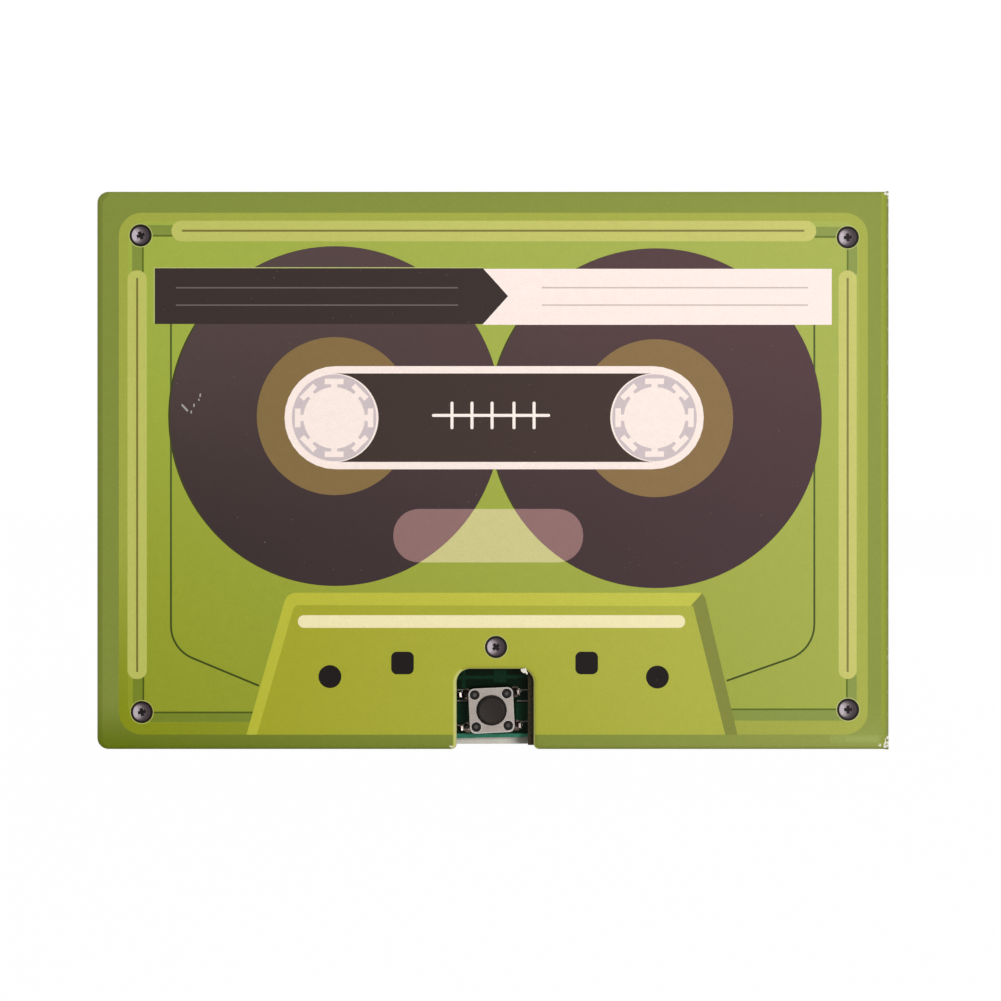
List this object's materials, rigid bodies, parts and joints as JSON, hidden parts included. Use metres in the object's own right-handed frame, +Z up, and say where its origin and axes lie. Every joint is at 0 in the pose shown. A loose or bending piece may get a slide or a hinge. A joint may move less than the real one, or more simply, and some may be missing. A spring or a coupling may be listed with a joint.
{
  "type": "recordable greeting card",
  "caption": "Folded card with a printed front, a notch over a push button, and a sound module inside that records and plays a message.",
  "frame": {"origin": "centre of the closed card's footprint, on the bottom edge it stands on", "axes": "+X across the card towards the fold, +Y from the printed front to the back, +Z up the card"},
  "size_m": [0.105, 0.0084, 0.074],
  "materials": {
    "printed_paper": "coated, satin",
    "cover_board": "raw cut edge",
    "white_paper": "uncoated",
    "grey_board": "raw grey board",
    "green_laminate": "solder mask",
    "black_epoxy": "poured epoxy",
    "black_ceramic": "glazed",
    "tan_ceramic": "sintered",
    "aluminium": "drawn",
    "brown_laminate": "phenolic paper laminate",
    "black_felt": "felt",
    "black_plastic": "moulded",
    "button_plastic": "moulded",
    "plated_steel": "tin plated",
    "spring_steel": "rolled",
    "tinned_brass": "tinned",
    "solder": "reflowed, bright",
    "zinc_steel": "zinc plated",
    "magnet": "nickel plated",
    "film": "formed film",
    "copper_wire": "enamelled winding",
    "card_ring": "die cut",
    "blue_insulation": "soft insulation",
    "red_insulation": "soft insulation",
    "black_insulation": "soft insulation",
    "cell_steel": "nickel plated",
    "white_foam": "double-sided foam tape"
  },
  "bodies": {
    "block": {"back_print_sheet": "printed_paper", "back_board": "cover_board", "spine_board": "cover_board", "back_lining": "white_paper", "rear_spacer": "grey_board", "front_spacer": "grey_board", "message_page": "white_paper", "circuit_board": "green_laminate", "sound_chip": "black_epoxy", "resistors": "black_ceramic", "capacitors": "tan_ceramic", "microphone_can": "aluminium", "microphone_base": "brown_laminate", "microphone_felt": "black_felt", "switch_base": "black_plastic", "switch_cover_plate": "plated_steel", "switch_leads": "tinned_brass", "solder_joints": "solder", "speaker_yoke": "zinc_steel", "speaker_magnet": "magnet", "speaker_top_plate": "zinc_steel", "speaker_basket": "black_plastic", "speaker_ring": "card_ring", "speaker_terminals": "brown_laminate", "speaker_wires": "blue_insulation", "battery_tray": "black_plastic", "button_cells": "cell_steel", "cell_contacts": "plated_steel", "battery_wire_red": "red_insulation", "battery_wire_black": "black_insulation", "foam_pads": "white_foam"},
    "cover": {"front_print_sheet": "printed_paper", "front_board": "cover_board", "front_lining": "white_paper"},
    "button": {"switch_plunger": "button_plastic", "switch_dome": "spring_steel"},
    "cone": {"voice_coil": "copper_wire", "diaphragm": "film"}
  },
  "joints": [
    {"name": "cover_fold", "type": "hinge", "parent": "block", "child": "cover", "pos_m": [0.0525, -0.0042, 0], "axis": [0, 0, 1], "range_deg": [0, 180]},
    {"name": "button_press", "type": "slide", "parent": "block", "child": "button", "axis": [0, 1, 0], "range_m": [0, 0.00025], "stiffness_N_per_m": 6400, "deforming": ["switch_dome"]},
    {"name": "cone_travel", "type": "slide", "parent": "block", "child": "cone", "axis": [0, -1, 0], "range_m": [-0.0003, 0.0003], "stiffness_N_per_m": 1500, "deforming": ["diaphragm"]}
  ]
}
